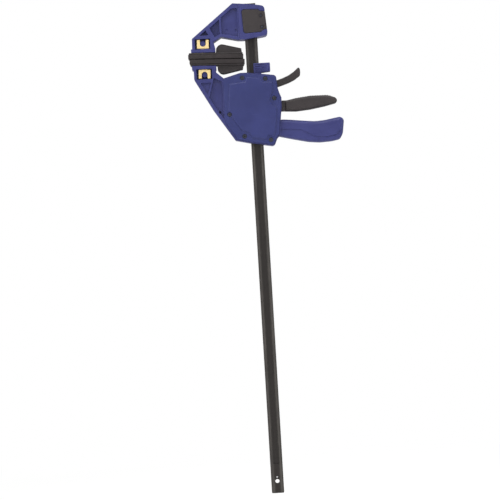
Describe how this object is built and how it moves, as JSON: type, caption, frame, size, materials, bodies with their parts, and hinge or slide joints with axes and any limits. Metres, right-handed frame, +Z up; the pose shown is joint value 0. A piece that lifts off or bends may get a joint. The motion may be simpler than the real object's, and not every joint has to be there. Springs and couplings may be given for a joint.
{
  "type": "one-handed trigger bar clamp",
  "caption": "Bar clamp with a fixed jaw, a sliding jaw driven by a hand trigger, swivelling pads, a fixed handle and a quick-release brake lever.",
  "frame": {"origin": "centre of the hang hole at the bar's lower end, on the bar's mid-plane", "axes": "+Z up along the bar towards the fixed jaw, +X towards the handle, -X towards the jaws' reach, +Y through the clamp's thickness along the hang hole"},
  "size_m": [0.2602, 0.044, 0.8433],
  "materials": {
    "black_steel": "dark brown-black oxide finish, satin",
    "pin_steel": "bright hardened steel",
    "spring_steel": "drawn spring wire",
    "screw_steel": "blackened steel",
    "blue_plastic": "glass-filled moulding, fine texture",
    "black_plastic": "glass-filled moulding, fine texture",
    "soft_black": "soft moulded pad",
    "yellow_plastic": "moulded, satin",
    "nylon": "plain nylon"
  },
  "bodies": {
    "frame": {"bar": "black_steel", "stop_pin": "pin_steel", "upper_jaw": "blue_plastic", "jaw_cap": "black_plastic", "cap_rivets": "screw_steel", "jaw_dowel": "pin_steel"},
    "upper_pad_unit": {"upper_pad": "soft_black", "upper_pad_carrier": "black_plastic", "upper_clip": "yellow_plastic"},
    "carriage": {"housing": "blue_plastic", "front_cover": "blue_plastic", "cover_screws": "screw_steel", "top_guide": "nylon", "bottom_guide": "nylon", "ribbed_block": "blue_plastic", "spring_seat": "pin_steel", "trigger_pin": "pin_steel", "drive_spring": "spring_steel", "brake_spring": "spring_steel"},
    "lower_pad_unit": {"lower_pad": "soft_black", "lower_pad_carrier": "black_plastic", "lower_clip": "yellow_plastic"},
    "trigger": {"trigger": "black_plastic"},
    "drive_plates": {"drive_plates": "pin_steel"},
    "brake": {"brake_plate": "pin_steel", "release_lever": "black_plastic"}
  },
  "joints": [
    {"name": "carriage_slide", "type": "slide", "parent": "frame", "child": "carriage", "axis": [0, 0, -1], "range_m": [0, 0.565]},
    {"name": "upper_pad_rock", "type": "hinge", "parent": "frame", "child": "upper_pad_unit", "pos_m": [-0.0832, 0, 0.757], "axis": [0, 1, 0], "range_deg": [-1.2, 0.4]},
    {"name": "lower_pad_rock", "type": "hinge", "parent": "carriage", "child": "lower_pad_unit", "pos_m": [-0.0832, 0, 0.7039], "axis": [0, 1, 0], "range_deg": [-0.4, 1.2]},
    {"name": "trigger_pivot", "type": "hinge", "parent": "carriage", "child": "trigger", "pos_m": [-0.0205, 0, 0.657], "axis": [0, 1, 0], "range_deg": [0, 9], "stiffness_Nm_per_rad": 3, "springref_deg": -6.88},
    {"name": "drive_travel", "type": "slide", "parent": "carriage", "child": "drive_plates", "axis": [0, 0, -1], "range_m": [0, 0.0062], "deforming": ["drive_spring"]},
    {"name": "brake_release", "type": "hinge", "parent": "carriage", "child": "brake", "pos_m": [-0.021, 0, 0.6754], "axis": [0, 1, 0], "range_deg": [0, 6], "stiffness_Nm_per_rad": 2, "springref_deg": -8.59, "deforming": ["brake_spring"]}
  ],
  "couplings": [
    {"joint": "drive_travel", "follows": "trigger_pivot", "m_per_rad": 0.0382}
  ]
}
